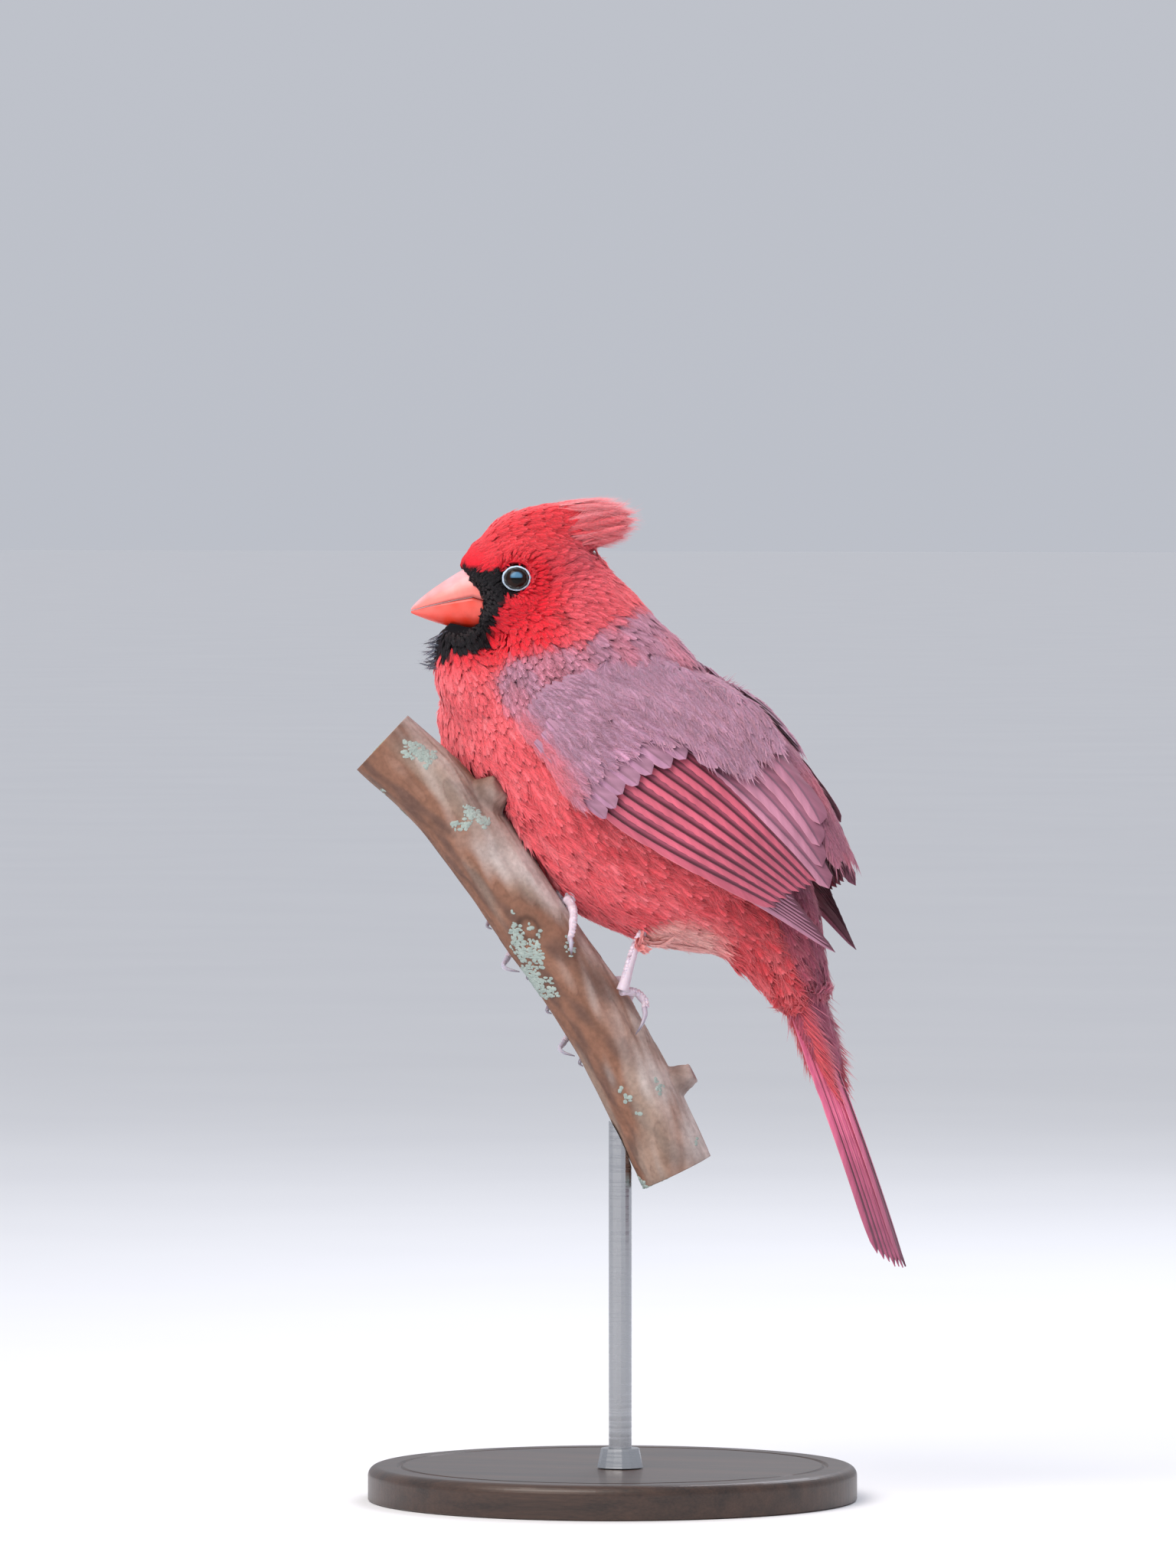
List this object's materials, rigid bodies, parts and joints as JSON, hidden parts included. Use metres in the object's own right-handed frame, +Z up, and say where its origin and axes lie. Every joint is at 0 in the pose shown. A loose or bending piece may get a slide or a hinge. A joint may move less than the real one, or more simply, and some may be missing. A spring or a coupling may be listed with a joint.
{
  "type": "northern cardinal",
  "caption": "Life-size still model of a male northern cardinal, upright crest and long tail, gripping a short steep length of branch on a plain rod and disc stand.",
  "frame": {"origin": "middle of the underside of the stand's base, on the surface that it stands on", "axes": "+Z up; the bird's bill points towards -X and its tail towards +X; its left side, which the picture shows, faces -Y; the trunk's middle plane is Y = 0"},
  "size_m": [0.1438, 0.128, 0.2615],
  "materials": {
    "plumage_red": "soft small contour feathers, bright red, black on the face",
    "plumage_mauve": "soft contour feathers of the back and shoulders, grey-mauve over red",
    "flight_feathers": "stiff quill feathers, rose-red outer edges and dusky inner vanes",
    "bill": "smooth horn, coral orange, satin",
    "eye": "wet dark brown eye",
    "leg_skin": "scaled leg skin, pale lavender pink",
    "claw": "smooth horn, pale grey",
    "bark": "smooth peeling bark, rust brown and pale grey, sawn ends",
    "stand_wood": "turned hardwood, dark stain, satin",
    "stand_metal": "round rod and collar, brushed"
  },
  "bodies": {
    "root": {"head": "plumage_red", "crest": "plumage_red", "neck": "plumage_red", "trunk": "plumage_red", "rump": "plumage_red", "thigh_left": "plumage_red", "thigh_right": "plumage_red", "tail": "flight_feathers", "wing_left_shoulder": "plumage_mauve", "wing_left_coverts": "plumage_mauve", "wing_left_tertials": "flight_feathers", "wing_left_secondaries": "flight_feathers", "wing_left_primaries": "flight_feathers", "wing_right_shoulder": "plumage_mauve", "wing_right_coverts": "plumage_mauve", "wing_right_tertials": "flight_feathers", "wing_right_secondaries": "flight_feathers", "wing_right_primaries": "flight_feathers", "bill_upper": "bill", "bill_lower": "bill", "eye_left": "eye", "eye_right": "eye", "tarsus_left": "leg_skin", "inner_left": "leg_skin", "middle_left": "leg_skin", "outer_left": "leg_skin", "hallux_left": "leg_skin", "tarsus_right": "leg_skin", "inner_right": "leg_skin", "middle_right": "leg_skin", "outer_right": "leg_skin", "hallux_right": "leg_skin", "claw_inner_left": "claw", "claw_middle_left": "claw", "claw_outer_left": "claw", "claw_hallux_left": "claw", "claw_inner_right": "claw", "claw_middle_right": "claw", "claw_outer_right": "claw", "claw_hallux_right": "claw", "perch": "bark", "stand_base": "stand_wood", "stand_rod": "stand_metal"}
  },
  "joints": []
}
